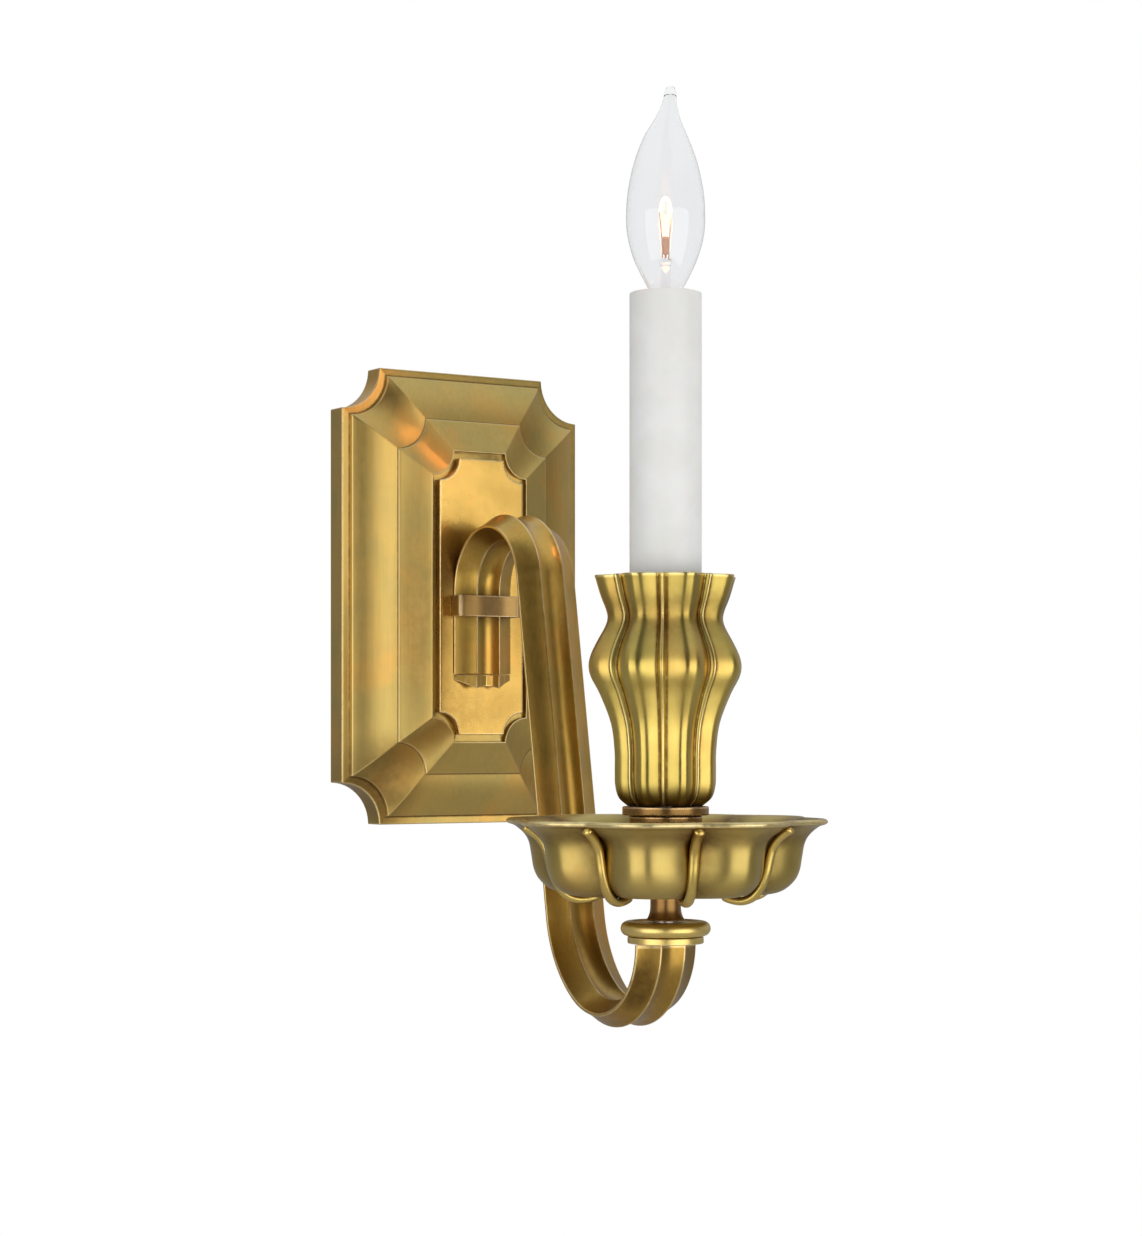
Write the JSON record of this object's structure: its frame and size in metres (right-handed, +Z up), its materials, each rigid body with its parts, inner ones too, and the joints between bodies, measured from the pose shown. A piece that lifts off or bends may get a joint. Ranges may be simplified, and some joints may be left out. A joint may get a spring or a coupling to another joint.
{
  "type": "wall sconce candle holder",
  "caption": "Brass wall sconce: scooped backplate, looped moulded arm, lobed drip dish and fluted cup holding a white candle sleeve with a clear flame-tip bulb.",
  "frame": {"origin": "middle of the wall bracket's back face, on the wall plane", "axes": "+Z up, +Y into the wall, so the object stands out towards -Y; +X is to the right when facing it"},
  "size_m": [0.1304, 0.239, 0.3802],
  "materials": {
    "antique_brass": "satin antique, mottled olive gold",
    "panel_brass": "polished, warm gold",
    "bright_brass": "polished, yellow gold",
    "copper_brass": "satin, coppery",
    "zinc_steel": "zinc plated",
    "green_screw": "green lacquer",
    "candle_white": "satin off-white",
    "socket_black": "moulded black",
    "lead_insulation": "black flexible insulation",
    "clear_glass": "clear",
    "glowing_filament": "hot wire"
  },
  "bodies": {
    "sconce": {"backplate": "antique_brass", "arm": "antique_brass", "arm_end_cap": "antique_brass", "arm_band": "antique_brass", "centre_panel": "panel_brass", "arm_end_collar": "bright_brass", "arm_end_disc": "bright_brass", "neck_spool": "bright_brass", "drip_dish": "bright_brass", "candle_cup": "bright_brass", "cup_nut": "bright_brass", "socket_shell": "bright_brass", "socket_contact": "bright_brass", "terminal_screw_left": "bright_brass", "dish_spacer": "copper_brass", "seat_ring_lower": "copper_brass", "seat_ring_upper": "copper_brass", "wall_bracket": "zinc_steel", "set_screw_top": "zinc_steel", "set_screw_bottom": "zinc_steel", "arm_washer_upper": "zinc_steel", "arm_washer_lower": "zinc_steel", "arm_screw_upper": "zinc_steel", "arm_screw_lower": "zinc_steel", "centre_tube": "zinc_steel", "cup_washer": "zinc_steel", "socket_strap": "zinc_steel", "terminal_screw_right": "zinc_steel", "ground_screw": "green_screw", "candle_sleeve": "candle_white", "socket_body": "socket_black", "wire_bushing": "socket_black", "supply_lead": "lead_insulation"},
    "bulb_foot": {"bulb_contact": "zinc_steel", "bulb_insulator": "socket_black"},
    "bulb": {"bulb_glass": "clear_glass", "bulb_stem": "clear_glass", "lead_wire_left": "zinc_steel", "lead_wire_right": "zinc_steel", "filament": "glowing_filament", "bulb_screw_shell": "bright_brass"}
  },
  "joints": [
    {"name": "bulb_rise", "type": "slide", "parent": "sconce", "child": "bulb_foot", "axis": [0, 0, 1], "range_m": [0, 0.00763]},
    {"name": "bulb_turn", "type": "hinge", "parent": "bulb_foot", "child": "bulb", "pos_m": [0, -0.17379, 0.1], "axis": [0, 0, 1], "range_deg": [0, 1080]}
  ],
  "couplings": [
    {"joint": "bulb_rise", "follows": "bulb_turn", "m_per_rad": 0.00040425}
  ]
}
